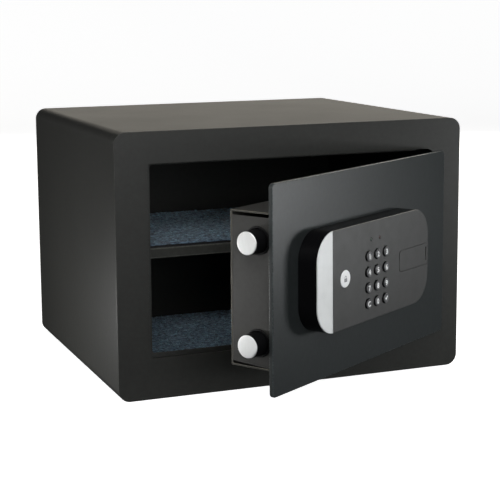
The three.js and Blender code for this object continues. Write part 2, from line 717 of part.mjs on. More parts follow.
const slideCoverOutline = (grow) => {
  const half = SLIDE_COVER.height / 2 + grow;
  const radius = SLIDE_COVER.radius + grow;
  const right = grow > 0 ? PANEL.right + 5 : PANEL.right;
  return roundedRect(SLIDE_COVER.left - grow, PANEL_Z - half, right, PANEL_Z + half,
    [radius, 0, 0, radius]);
};

function ledSites() {
  return [
    { name: 'led_green', x: LED.x - KEY_PITCH.x / 2, material: GREEN_LENS },
    { name: 'led_red', x: LED.x + KEY_PITCH.x / 2, material: RED_LENS },
  ];
}

function buildPanel() {
  const faceBack = PANEL_FRONT + PANEL_FACE;
  const rear = FRONT - GAP;
  const ahead = PANEL_FRONT - OVER;
  const bandEdge = PANEL.left + END_BAND_WIDTH;
  const through = [ahead, faceBack + OVER];
  const badgeFloor = PANEL_FRONT + BADGE.thickness - BADGE.proud + GAP;
  const cuts = [
    alongY(panelOutline(PANEL_WALL), faceBack, rear + OVER, 6),
    alongY(slideCoverOutline(GAP), ahead, PANEL_FRONT + SLIDE_COVER.thickness + GAP),
    box(PANEL.left - OVER, bandEdge, ahead, PANEL_FRONT + END_BAND_THICKNESS + GAP,
      PANEL.bottom - OVER, PANEL.top + OVER),
    rodY(BADGE.radius + GAP, ahead, badgeFloor, BADGE.x, PANEL_Z, 24),
    ...keySites().map(({ x, z }) => rodY(KEY_RADIUS + KEY_CLEARANCE, ...through, x, z, 14)),
    ...ledSites().map(({ x }) => rodY(LED.radius + GAP, ...through, x, LED.z, 8)),
    rodY(OVERRIDE.barrel + GAP, ...through, OVERRIDE.x, OVERRIDE.z, 20),
  ];
  onDoor('panel_housing', build([alongY(panelOutline(0), PANEL_FRONT, rear, 8)], cuts), PANEL_PLASTIC);

  onDoor('end_band', build(
    [alongY(panelOutline(0), PANEL_FRONT, PANEL_FRONT + END_BAND_THICKNESS, 8)],
    [box(bandEdge - GAP, PANEL.right + OVER, ahead, faceBack, 0, HEIGHT)],
  ), SATIN_SILVER);

  onDoor('badge', rodY(BADGE.radius, PANEL_FRONT - BADGE.proud,
    PANEL_FRONT + BADGE.thickness - BADGE.proud, BADGE.x, PANEL_Z, 24), BADGE_WHITE);

  onDoor('circuit_board', build(
    [box(BOARD.left, OVERRIDE.x - 14, BOARD.front, BOARD.front + BOARD.sheet,
      PANEL.bottom + BOARD.inset, PANEL.top - BOARD.inset)],
    [rodY(BOARD_HOLE.radius, BOARD.front - OVER, BOARD.front + BOARD.sheet + OVER,
      BOARD_HOLE.x, BOARD_HOLE.z, 12)],
  ), BOARD_GREEN);
}

function buildSlideCover() {
  const { x, width, length, depth } = GRIP_SLOT;
  onDoor('slide_cover', build(
    [alongY(slideCoverOutline(0), PANEL_FRONT, PANEL_FRONT + SLIDE_COVER.thickness)],
    [box(x - width / 2, x + width / 2, PANEL_FRONT - OVER, PANEL_FRONT + depth,
      PANEL_Z - length / 2, PANEL_Z + length / 2)],
  ), PANEL_PLASTIC);
}

function buildKeys() {
  const flangeFront = PANEL_FACE + GAP;
  const flangeBack = flangeFront + KEY_FLANGE.thickness;
  for (const { name, x, z } of keySites()) {
    const key = turned([
      [0, -KEY_PROUD],
      [KEY_RADIUS - KEY_CROWN.inset, -KEY_PROUD],
      [KEY_RADIUS, KEY_CROWN.drop - KEY_PROUD],
      [KEY_RADIUS, flangeFront],
      [KEY_RADIUS + KEY_FLANGE.width, flangeFront],
      [KEY_RADIUS + KEY_FLANGE.width, flangeBack],
      [0, flangeBack],
    ], 14).translate(x, PANEL_FRONT, z);
    onDoor(name, key, KEY_PLASTIC);
  }
}

function buildLeds() {
  const flangeFront = PANEL_FACE + GAP;
  for (const { name, x, material } of ledSites()) {
    onDoor(name, turned([
      [0, -LED.proud],
      [LED.radius - 0.4, 0.1 - LED.proud],
      [LED.radius, 0],
      [LED.radius, flangeFront],
      [LED.radius + LED.flange, flangeFront],
      [LED.radius + LED.flange, flangeFront + LED.flangeThickness],
      [0, flangeFront + LED.flangeThickness],
    ], 8).translate(x, PANEL_FRONT, LED.z), material);
  }
}

function buildOverride() {
  const { x, z, barrel, plug, rear, tail } = OVERRIDE;
  const front = PANEL_FRONT + SLIDE_COVER.thickness + 2 * GAP;
  onDoor('override_barrel', build(
    [rodY(barrel, front, rear, x, z, 20)],
    [rodY(plug + GAP, front - OVER, rear + OVER, x, z, 20)],
  ), ZINC);
  onDoor('override_plug', build(
    [rodY(plug, front, rear + tail, x, z, 20)],
    [box(x - KEYWAY.width / 2, x + KEYWAY.width / 2, front - OVER, front + KEYWAY.depth,
      z - KEYWAY.height / 2, z + KEYWAY.height / 2)],
  ), BRASS);
  const camFront = rear + tail + GAP;
  const cam = roundedRect(x - CAM.half, z - CAM.below, x + CAM.half, z + CAM.above, CAM.half - 0.5);
  onDoor('override_cam', alongY(cam, camFront, camFront + CAM.sheet, 4), ZINC);
}

buildBody();
buildFrame();
buildHingeBracket('hinge_bracket_top', 'hinge_pin_top', HINGE_LEVEL.top + HINGE_SHEET + GAP, 1);
buildHingeBracket('hinge_bracket_bottom', 'hinge_pin_bottom', HINGE_LEVEL.bottom - GAP, -1);
buildShelf();
buildMats();
buildDoorPlate();
buildHingeArm('hinge_arm_top', HINGE_LEVEL.top);
buildHingeArm('hinge_arm_bottom', HINGE_LEVEL.bottom);
buildLockCase();
buildCaseCover();
buildBatteries();
for (const [level, z] of Object.entries(BOLT_LEVELS)) buildBolt(level, z);
buildCarriage();
buildDrive();
buildPanel();
buildSlideCover();
buildKeys();
buildLeds();
buildOverride();

export default safe;
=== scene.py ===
"""An in-room safe standing ajar: powder-coated steel body, swan-neck door with a
motor lock behind it and a keypad panel in front, a shelf and two felt mats.

Metres, +Z up, the door faces -Y. Door pieces are drawn with the door closed and
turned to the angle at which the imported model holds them.
"""
import json
import math

import bmesh
import bpy
import numpy as np
from mathutils import Matrix, Vector
from mathutils.geometry import tessellate_polygon


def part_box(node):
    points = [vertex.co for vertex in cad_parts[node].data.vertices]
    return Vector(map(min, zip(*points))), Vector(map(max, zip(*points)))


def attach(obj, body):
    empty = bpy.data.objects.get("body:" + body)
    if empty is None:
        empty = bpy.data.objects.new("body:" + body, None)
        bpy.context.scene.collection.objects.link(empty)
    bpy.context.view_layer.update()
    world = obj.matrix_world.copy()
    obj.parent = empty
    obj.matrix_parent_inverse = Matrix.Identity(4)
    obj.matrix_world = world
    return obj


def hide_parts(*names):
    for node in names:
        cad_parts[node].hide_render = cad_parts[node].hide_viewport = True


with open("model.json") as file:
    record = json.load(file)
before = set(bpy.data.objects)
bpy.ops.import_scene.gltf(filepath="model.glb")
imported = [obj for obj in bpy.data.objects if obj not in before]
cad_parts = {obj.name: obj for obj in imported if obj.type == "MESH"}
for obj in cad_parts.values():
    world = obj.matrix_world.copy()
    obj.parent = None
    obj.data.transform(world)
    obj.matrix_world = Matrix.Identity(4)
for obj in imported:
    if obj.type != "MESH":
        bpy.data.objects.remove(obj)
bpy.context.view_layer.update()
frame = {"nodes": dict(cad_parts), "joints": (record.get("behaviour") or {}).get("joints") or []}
nodes = frame["nodes"]
rng = np.random.default_rng(7)

HINGE = next(j for j in frame["joints"] if j["name"] == "door_hinge")
PIVOT = Matrix.Translation(Vector(HINGE["pos_m"]))
AJAR = -math.radians(HINGE["range_deg"][0])
DOOR_TURN = PIVOT @ Matrix.Rotation(AJAR, 4, "Z") @ PIVOT.inverted()
DOOR_CLOSED = DOOR_TURN.inverted()

# ------------------------------------------------------------------- camera
CAMERA_PLACE = (-0.5169, -1.3213, 0.3671)
CAMERA_YAW, CAMERA_PITCH, CAMERA_ROLL = 21.17, 8.97, -0.5  # degrees
CAMERA_LENS = 99.06
CAMERA_SHIFT = (0.0348, -0.0738)


def make_camera():
    data = bpy.data.cameras.new("camera")
    data.lens = CAMERA_LENS
    data.shift_x, data.shift_y = CAMERA_SHIFT
    data.clip_start, data.clip_end = 0.05, 30
    camera = bpy.data.objects.new("camera", data)
    turn = (
        Matrix.Rotation(-math.radians(CAMERA_YAW), 4, "Z")
        @ Matrix.Rotation(math.radians(90 - CAMERA_PITCH), 4, "X")
        @ Matrix.Rotation(math.radians(CAMERA_ROLL), 4, "Z")
    )
    camera.matrix_world = Matrix.Translation(CAMERA_PLACE) @ turn
    bpy.context.scene.collection.objects.link(camera)
    bpy.context.scene.camera = camera


# ---------------------------------------------------------------- materials
class Surface:
    """One node material, built round a Principled shader."""

    def __init__(self, name, color, roughness, **sockets):
        self.material = bpy.data.materials.new(name)
        self.material.use_nodes = True
        self.tree = self.material.node_tree
        self.shader = self.tree.nodes["Principled BSDF"]
        self.shader.inputs["Base Color"].default_value = (*color, 1)
        self.shader.inputs["Roughness"].default_value = roughness
        for socket, value in sockets.items():
            self.shader.inputs[socket.replace("_", " ")].default_value = value
        self.height = None

    def node(self, kind, values=None, **settings):
        made = self.tree.nodes.new("ShaderNode" + kind)
        for key, value in settings.items():
            setattr(made, key, value)
        for socket, value in (values or {}).items():
            if isinstance(value, bpy.types.NodeSocket):
                self.tree.links.new(value, made.inputs[socket])
            else:
                made.inputs[socket].default_value = value
        return made

    def place(self, stretch=(1, 1, 1)):
        """Position on the piece, in metres, with each axis multiplied by stretch."""
        where = self.node("TexCoord").outputs["Object"]
        return self.node("Mapping", {"Vector": where, "Scale": stretch}).outputs["Vector"]

    def noise(self, size, detail=3.0, stretch=(1, 1, 1), rough=0.55):
        """Noise from 0 to 1 whose features are about size metres across."""
        values = {"Vector": self.place(stretch), "Scale": 1 / size, "Detail": detail}
        return self.node("TexNoise", {**values, "Roughness": rough}).outputs["Fac"]

    def spread(self, value, low, high, start=0.3, end=0.7):
        """value from start to end, mapped to low to high."""
        values = {"Value": value, "From Min": start, "From Max": end, "To Min": low, "To Max": high}
        return self.node("MapRange", values).outputs["Result"]

    def tint(self, value, low, high):
        """The base colour runs from low to high as value runs from 0 to 1."""
        mixed = self.node("Mix", data_type="RGBA")
        self.tree.links.new(value, mixed.inputs[0])
        mixed.inputs[6].default_value = (*low, 1)
        mixed.inputs[7].default_value = (*high, 1)
        self.tree.links.new(mixed.outputs[2], self.shader.inputs["Base Color"])

    def rough(self, value):
        self.tree.links.new(value, self.shader.inputs["Roughness"])

    def bump(self, value, strength, distance):
        """Adds a bump of that height in metres on top of the ones before it."""
        values = {"Height": value, "Strength": strength, "Distance": distance}
        if self.height:
            values["Normal"] = self.height
        self.height = self.node("Bump", values).outputs["Normal"]
        self.tree.links.new(self.height, self.shader.inputs["Normal"])


def shade(color, factor):
    return tuple(min(1.0, c * factor) for c in color)


def powder_coat(name, color, roughness, painted_edge_highlight=False):
    """Sintered powder: fine grain on a shallow orange peel. The edge copy is smoother and 1.5 to 2.6 times
    lighter, a painted highlight along edges.
    """
    grain_size, peel_size, hand_size = 0.0007, 0.0045, 0.08
    surface = Surface(name, color, roughness, Specular_IOR_Level=0.3)
    grain = surface.noise(grain_size, 2)
    peel = surface.noise(peel_size, 2)
    patch = surface.spread(surface.noise(peel_size, 4), 0.0, 1.0)
    if painted_edge_highlight:
        # painted highlight: the edge copy runs from 1.5 to 2.6 times the coat's colour
        surface.tint(patch, shade(color, 1.5), shade(color, 2.6))
        surface.rough(surface.spread(grain, roughness * 0.6, roughness * 0.85))
    else:
        surface.tint(patch, shade(color, 0.9), shade(color, 1.12))
        handled = surface.noise(hand_size, 3)
        surface.rough(surface.spread(handled, roughness * 0.97, roughness * 1.03))
    surface.bump(grain, 0.35, 0.00012)
    surface.bump(peel, 0.18, 0.0004)
    return surface.material


def moulded(name, color, roughness, grain=0.0005, strength=0.2, **sockets):
    """Injection-moulded plastic with a spark-eroded grain and faint flow marks."""
    surface = Surface(name, color, roughness, **sockets)
    flow = surface.noise(0.02, 3, (0.4, 1, 1))
    surface.tint(surface.spread(flow, 0, 1), shade(color, 0.94), shade(color, 1.06))
    surface.rough(surface.spread(surface.noise(0.012, 4), roughness * 0.9, roughness * 1.12))
    surface.bump(surface.noise(grain, 2), strength, 0.00006)
    return surface.material


def plated(name, color, roughness, scratch=(1, 1, 1), strength=0.12, patchy=0.0):
    """Plated or plain metal: drawn scratches, and for zinc a cloudy passivation."""
    surface = Surface(name, color, roughness, Metallic=1.0)
    cloud = surface.spread(surface.noise(0.006, 4), 0, 1)
    surface.tint(cloud, shade(color, 1 - patchy), shade(color, 1 + patchy / 3))
    lines = surface.noise(0.0012, 4, scratch)
    surface.rough(surface.spread(lines, roughness * 0.75, roughness * 1.35))
    surface.bump(lines, strength, 0.00005)
    return surface.material


def lens(name, color):
    surface = Surface(name, color, 0.08, Transmission_Weight=0.35, IOR=1.5)
    haze = surface.noise(0.0006, 2)
    surface.tint(haze, shade(color, 0.8), shade(color, 1.2))
    surface.bump(haze, 0.1, 0.00003)
    return surface.material


def circuit(name):
    """Solder mask over copper tracks."""
    mask, copper = (0.01, 0.09, 0.04), (0.04, 0.2, 0.07)
    surface = Surface(name, mask, 0.3)
    values = {"Vector": surface.place(), "Scale": 260.0, "Randomness": 0.35}
    cells = surface.node("TexVoronoi", values, distance="MANHATTAN", feature="F1")
    track = surface.spread(cells.outputs["Distance"], 0, 1, 0.44, 0.5)
    surface.tint(track, mask, copper)
    surface.bump(track, 0.4, 0.00005)
    return surface.material


def cell_sleeve(name, low, high):
    """A shrink sleeve with one lighter band near the end of the cell."""
    dark, band = (0.02, 0.022, 0.028), (0.42, 0.3, 0.14)
    surface = Surface(name, dark, 0.25)
    split = surface.node("SeparateXYZ", {"Vector": surface.place()})
    start = low + 0.72 * (high - low)
    stripe = surface.spread(split.outputs["Z"], 0, 1, start, start + 0.0004)
    surface.tint(stripe, dark, band)
    surface.bump(surface.noise(0.004, 2), 0.1, 0.0001)
    return surface.material


def felt(name, dark, light, tone=None):
    """Needle-punched felt: a deep matted ground, or strands that carry their tone."""
    surface = Surface(name, dark, 0.95, Sheen_Weight=0.25, Sheen_Roughness=0.5, Specular_IOR_Level=0.15)
    clump = surface.noise(0.005, 5, rough=0.7)
    fleck = surface.noise(0.0014, 3)
    if tone:
        value = surface.node("Attribute", attribute_name=tone).outputs["Fac"]
        surface.tint(value, dark, light)
    else:
        surface.tint(surface.spread(clump, 0, 1, 0.4, 0.62), dark, light)
    surface.bump(clump, 0.7, 0.0012)
    surface.bump(fleck, 0.8, 0.0006)
    return surface.material


BODY_BLACK = (0.0205, 0.0208, 0.0188)
DOOR_BLACK = (0.0198, 0.0228, 0.0232)
CASE_BLACK = (0.0245, 0.0242, 0.0225)
# Each _EDGE coat goes on bevels and rounded edges and is lighter than its coat: a painted highlight along
# the edges.
BODY_COAT = powder_coat("body_coat", BODY_BLACK, 0.46)
BODY_EDGE = powder_coat("body_coat_edge", BODY_BLACK, 0.46, painted_edge_highlight=True)
DOOR_COAT = powder_coat("door_coat", DOOR_BLACK, 0.38)
DOOR_EDGE = powder_coat("door_coat_edge", DOOR_BLACK, 0.38, painted_edge_highlight=True)
CASE_COAT = powder_coat("case_coat", CASE_BLACK, 0.4)
CASE_EDGE = powder_coat("case_coat_edge", CASE_BLACK, 0.4, painted_edge_highlight=True)
SHELF_COAT = powder_coat("shelf_coat", shade(BODY_BLACK, 2.6), 0.4)
SHELF_EDGE = powder_coat("shelf_coat_edge", shade(BODY_BLACK, 3.2), 0.34, painted_edge_highlight=True)
# Pale metal on the lock cover's bevelled edges, which shows as a bright line along them.
COVER_EDGE_METAL = plated("cover_edge_metal", (0.24, 0.23, 0.185), 0.42, (1, 1, 0.3))
PANEL_FACE = moulded("panel_face", (0.0215, 0.0215, 0.0205), 0.5)
# A lighter, glossier copy of the face plastic for its rounded edges: a painted highlight.
PANEL_EDGE_HIGHLIGHT = moulded("panel_face_edge", (0.034, 0.034, 0.0325), 0.4)
PANEL_GLOSS = moulded("panel_gloss", (0.003, 0.003, 0.0034), 0.24, strength=0.03, Specular_IOR_Level=0.14)
SILVER = moulded("satin_silver", (0.7, 0.71, 0.705), 0.45, Metallic=0.1)
BADGE_WHITE = moulded("badge_white", (0.88, 0.885, 0.885), 0.25, strength=0.05)
BADGE_INK = moulded("badge_ink", (0.16, 0.16, 0.17), 0.4, strength=0.05)
KEY_PLASTIC = moulded("key_plastic", (0.07, 0.071, 0.073), 0.32)
LEGEND_WHITE = moulded("legend_white", (0.86, 0.86, 0.85), 0.45, strength=0.05)
BLACK_PLASTIC = moulded("black_plastic", (0.005, 0.005, 0.0054), 0.45, Specular_IOR_Level=0.12)
RESET_RED = moulded("reset_red", (0.42, 0.02, 0.015), 0.35)
# Near-black for the shanks of the chromed bolts: a painted dark reflection and shadow.
BOLT_SHANK_PAINTED_DARK = moulded("bolt_shank_painted_dark", (0.004, 0.004, 0.0045), 0.5, strength=0.05, Specular_IOR_Level=0.1)
CHROME = plated("bolt_chrome", (0.74, 0.75, 0.75), 0.46, (1, 0.2, 0.2), 0.0)
ZINC = plated("zinc", (0.56, 0.57, 0.55), 0.34, (1, 1, 0.25), 0.15, patchy=0.25)
BRASS = plated("brass", (0.62, 0.46, 0.2), 0.26, (1, 1, 0.3), 0.12, patchy=0.12)
GREEN_LENS = lens("green_lens", (0.11, 0.14, 0.12))
RED_LENS = lens("red_lens", (0.15, 0.105, 0.10))
BOARD = circuit("circuit_board")
FELT_DARK = (0.024, 0.052, 0.090)
FELT_LIGHT = (0.32, 0.55, 0.80)
FELT_GROUND = felt("felt_ground", FELT_DARK, shade(FELT_LIGHT, 0.7))
BACKING = moulded("felt_backing", (0.006, 0.006, 0.007), 0.6)
FELT_STRAND = felt("felt_strand", FELT_DARK, shade(FELT_LIGHT, 1.5), tone="tone")


# ----------------------------------------------------------------- outlines
# An outline is a function of inset: it returns the points (x, z) of its loop,
# drawn in by that much, always the same number of them.
def rounded(x0, z0, x1, z1, radii, steps=12):
    """A rectangle. radii are bottom-left, bottom-right, top-right, top-left."""
    radii = radii if isinstance(radii, (list, tuple)) else [radii] * 4

    def outline(inset):
        points = []
        corners = [(x0, z0, 1, 1), (x1, z0, -1, 1), (x1, z1, -1, -1), (x0, z1, 1, -1)]
        for turn, ((x, z, right, up), radius) in enumerate(zip(corners, radii)):
            r = max(radius - inset, 0)
            cx, cz = x + right * (inset + r), z + up * (inset + r)
            for i in range(steps + 1):
                a = math.pi * (1 + turn / 2 + i / steps / 2)
                points.append((cx + r * math.cos(a), cz + r * math.sin(a)))
        return points

    return outline


def circle(x, z, radius, sides=40):
    def outline(inset):
        r = radius - inset
        angles = [2 * math.pi * i / sides for i in range(sides)]
        return [(x + r * math.cos(a), z + r * math.sin(a)) for a in angles]

    return outline


def crisp(outline, share=0.3):
    """The same outline with its edges broken by only a share of the inset."""
    return lambda inset: outline(inset * share)


def edges(y0, y1, front, back=0.0, steps=3):
    """A slab's profile, (inset, y) from y0 to y1, with rounded edges."""
    quarter = [math.pi / 2 * i / steps for i in range(steps + 1)]
    profile = [(front * (1 - math.sin(a)), y0 + front * (1 - math.cos(a))) for a in quarter]
    if back:
        turned = reversed(quarter)
        profile += [(back * (1 - math.sin(a)), y1 - back * (1 - math.cos(a))) for a in turned]
    else:
        profile.append((0.0, y1))
    return profile


# ------------------------------------------------------------------- meshes
def mend(mesh):
    """Joins points that lie on each other and turns every face outwards."""
    soup = bmesh.new()
    soup.from_mesh(mesh)
    bmesh.ops.remove_doubles(soup, verts=soup.verts, dist=1e-7)
    bmesh.ops.recalc_face_normals(soup, faces=soup.faces)
    soup.to_mesh(mesh)
    soup.free()
    return mesh


def to_mesh(name, vertices, faces, slots=None):
    mesh = bpy.data.meshes.new(name)
    mesh.from_pydata(vertices, [], faces)
    if slots:
        mesh.polygons.foreach_set("material_index", slots)
    return mend(mesh)


def slab_parts(outline, holes, profile, start=0):
    """Vertices, faces and edge marks of the solid between an outline and its holes."""
    vertices, faces, marks, rings = [], [], [], []
    for k, loop in enumerate([outline, *holes]):
        ring = []
        for inset, y in profile:
            points = loop(inset if k == 0 else -inset)
            ring.append(range(start + len(vertices), start + len(vertices) + len(points)))
            vertices += [(x, y, z) for x, z in points]
        for (a, b), (p, q) in zip(zip(ring, ring[1:]), zip(profile, profile[1:])):
            for i in range(len(a)):
                j = (i + 1) % len(a)
                faces.append((a[i], a[j], b[j], b[i]))
                marks.append(int(abs(p[0] - q[0]) > 1e-6))
        rings.append(ring)
    for end in (0, -1):
        loops = [[Vector(vertices[i - start]) for i in ring[end]] for ring in rings]
        flat = [i for ring in rings for i in ring[end]]
        for triangle in tessellate_polygon(loops):
            faces.append([flat[i] for i in triangle])
            marks.append(0)
    return vertices, faces, marks


def slab(name, *solids):
    """One mesh of one or more slabs, each given as (outline, holes, profile)."""
    vertices, faces, marks = [], [], []
    for outline, holes, profile in solids:
        v, f, m = slab_parts(outline, holes, profile, len(vertices))
        vertices += v
        faces += f
        marks += m
    return to_mesh(name, vertices, faces, marks)


def lathe(name, profile, place, axis, sides=48):
    """Turns (radius, height) points about axis through place."""
    axis = Vector(axis).normalized()
    across = axis.orthogonal().normalized()
    other = axis.cross(across)
    vertices, faces, rings = [], [], []
    for radius, height in profile:
        centre = Vector(place) + axis * height
        count = sides if radius > 1e-7 else 1
        rings.append(range(len(vertices), len(vertices) + count))
        for i in range(count):
            a = 2 * math.pi * i / sides
            vertices.append(centre + radius * (math.cos(a) * across + math.sin(a) * other))
    for a, b in zip(rings, rings[1:]):
        for i in range(sides):
            j = (i + 1) % sides
            corners = [a[i % len(a)], a[j % len(a)], b[j % len(b)], b[i % len(b)]]
            faces.append(list(dict.fromkeys(corners)))
    return to_mesh(name, vertices, [f for f in faces if len(f) > 2])


def arc(centre, radius, start, end, steps=5):
    """Points on a rounded corner of a lathe profile, angles in degrees."""
    angles = [math.radians(start + (end - start) * i / steps) for i in range(steps + 1)]
    return [(centre[0] + radius * math.cos(a), centre[1] + radius * math.sin(a)) for a in angles]


def cut(mesh, *cutters):
    """Takes the cutters' meshes out of mesh."""
    target = bpy.data.objects.new("target", mesh)
    bpy.context.scene.collection.objects.link(target)
    tools = []
    for cutter in cutters:
        tool = bpy.data.objects.new("tool", cutter)
        bpy.context.scene.collection.objects.link(tool)
        step = target.modifiers.new("cut", "BOOLEAN")
        step.operation, step.solver, step.object = "DIFFERENCE", "EXACT", tool
        tools.append(tool)
    view = bpy.context.evaluated_depsgraph_get()
    result = bpy.data.meshes.new_from_object(target.evaluated_get(view))
    for leftover in [target, *tools]:
        bpy.data.objects.remove(leftover)
    return result


def add_piece(name, mesh, materials, body, stands_for=(), on_door=False):
    """Shades a new mesh, puts it on its body and hides the nodes it stands for."""
    piece = bpy.data.objects.new(name, mesh)
    bpy.context.scene.collection.objects.link(piece)
    if on_door:
        mesh.transform(DOOR_TURN)
    for material in materials if isinstance(materials, list) else [materials]:
        mesh.materials.append(material)
    mesh.shade_smooth()
    mesh.set_sharp_from_angle(angle=math.radians(40))
    piece.modifiers.new("normals", "WEIGHTED_NORMAL").keep_sharp = True
    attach(piece, body)
    if stands_for:
        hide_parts(*stands_for)
    return piece


def finish_node(node, materials, edge=0.0003, segments=2):
    """Gives a CAD node its material, and breaks its sharp edges by edge metres."""
    piece = nodes[node]
    materials = materials if isinstance(materials, list) else [materials]
    piece.data.materials.clear()
    for material in materials:
        piece.data.materials.append(material)
    piece.data.shade_smooth()
    piece.modifiers.new("weld", "WELD").merge_threshold = 1e-6
    bevel = piece.modifiers.new("edges", "BEVEL")
    bevel.width, bevel.segments = edge, segments
    bevel.limit_method, bevel.angle_limit = "ANGLE", math.radians(35)
    bevel.material = len(materials) - 1
    piece.modifiers.new("normals", "WEIGHTED_NORMAL").keep_sharp = True


def closed_box(node):
    """A door node's lowest and highest corners with the door closed."""
    points = [DOOR_CLOSED @ v.co for v in nodes[node].data.vertices]
    low = Vector([min(p[i] for p in points) for i in range(3)])
    high = Vector([max(p[i] for p in points) for i in range(3)])
    return low, high


def centre_of(node):
    """The middle (x, z) of a door node with the door closed."""
    low, high = closed_box(node)
    return (low.x + high.x) / 2, (low.z + high.z) / 2


# --------------------------------------------------------------------- body
CORNER_RADIUS = 0.011
CORNER_STEPS = 14
ANCHOR_RADIUS = 0.005
FLOOR_ANCHORS = (0.110, 0.040)  # beside and behind the middle of the floor
REAR_ANCHORS = (0.110, 0.090)  # beside the middle and above the base
FRAME_EDGE, SHELF_BEND = 0.00045, 0.0011


def body_outline(inset):
    low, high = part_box("back_panel")
    corner = CORNER_RADIUS - inset
    return rounded(low.x + inset, low.z + inset, high.x - inset, high.z - inset, corner, CORNER_STEPS)


def make_body():
    low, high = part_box("body_wrap")
    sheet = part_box("back_panel")[1].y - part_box("back_panel")[0].y
    wrap = slab("wrap", (body_outline(0), [body_outline(sheet)], edges(low.y, high.y, 0.0003, 0.0003, 2)))
    drills = [
        lathe("drill", [(0, -0.01), (ANCHOR_RADIUS, -0.01), (ANCHOR_RADIUS, 0.01), (0, 0.01)],
              (side * FLOOR_ANCHORS[0], FLOOR_ANCHORS[1], 0), (0, 0, 1))
        for side in (-1, 1)
    ]
    add_piece("body_shell", cut(wrap, *drills), [BODY_COAT, BODY_EDGE], "body", ["body_wrap"])

    low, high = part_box("back_panel")
    holes = [crisp(circle(side * REAR_ANCHORS[0], REAR_ANCHORS[1], ANCHOR_RADIUS)) for side in (-1, 1)]
    rear = slab("rear", (body_outline(0), holes, edges(low.y, high.y, 0.0003, 0.0008)))
    add_piece("rear_panel", rear, [BODY_COAT, BODY_EDGE], "body", ["back_panel"])

    finish_node("front_frame", [BODY_COAT, BODY_EDGE], FRAME_EDGE, 3)
    finish_node("door_stop_frame", [BODY_COAT, BODY_EDGE])
    finish_node("shelf", [SHELF_COAT, SHELF_EDGE], SHELF_BEND, 4)
    for node in ("shelf_ledge_left", "shelf_ledge_right", "hinge_bracket_top", "hinge_bracket_bottom"):
        finish_node(node, [BODY_COAT, BODY_EDGE])
    for node in ("hinge_pin_top", "hinge_pin_bottom"):
        finish_node(node, ZINC, 0.0002)


# --------------------------------------------------------------------- mats
MAT_PITCH = 0.003  # spacing of the mat's surface mesh
MAT_DEPTH = 0.00045  # how unevenly the felt lies
MAT_ROLL = 0.003  # how far in from its edge the mat's top turns down
STRANDS_PER_M2 = 130000
STRAND_RADIUS = 0.0002
STRAND_REACH = (0.001, 0.003)  # half a strand's length, least and most
STRAND_MARGIN = 0.004


def felt_height(x, y):
    """A smooth seeded unevenness, from -1 to 1."""
    waves = ((310, 170, 0.3), (-220, 330, 1.7), (150, -410, 4.1), (530, 90, 2.2), (-70, 610, 5.0))
    return sum(np.sin(a * x + b * y + c) for a, b, c in waves) / len(waves)


def make_mat(name, node):
    low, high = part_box(node)
    width, length = high.x - low.x, high.y - low.y
    columns, rows = round(width / MAT_PITCH), round(length / MAT_PITCH)
    u, v = np.meshgrid(np.linspace(0, 1, columns + 1), np.linspace(0, 1, rows + 1))
    x, y = low.x + width * u, low.y + length * v
    border = np.minimum.reduce([x - low.x, high.x - x, y - low.y, high.y - y])
    roll = MAT_ROLL / 3 * (1 - np.minimum(border / MAT_ROLL, 1)) ** 2
    z = high.z - MAT_DEPTH * (1 + felt_height(x, y)) - roll
    top = np.stack([x, y, z], -1).reshape(-1, 3)
    count = columns + 1
    rim = list(range(columns))
    rim += [columns + count * j for j in range(rows)]
    rim += [rows * count + i for i in range(columns, 0, -1)]
    rim += [count * j for j in range(rows, 0, -1)]
    skirt = [(top[i][0], top[i][1], low.z) for i in rim]
    cell = [(j * count + i, j * count + i + 1, (j + 1) * count + i + 1, (j + 1) * count + i)
            for j in range(rows) for i in range(columns)]
    base = len(top)
    side = [(rim[k - 1], rim[k], base + k, base + k - 1 if k else base + len(rim) - 1)
            for k in range(len(rim))]
    floor = [tuple(range(base, base + len(rim)))]
    backed = [0] * len(cell) + [1] * (len(side) + 1)
    mesh = to_mesh(name, [*map(tuple, top), *skirt], cell + side + floor, backed)
    mat = add_piece(name, mesh, [FELT_GROUND, BACKING], "body", [node])
    strands = make_strands(name + "_strands", low, high)


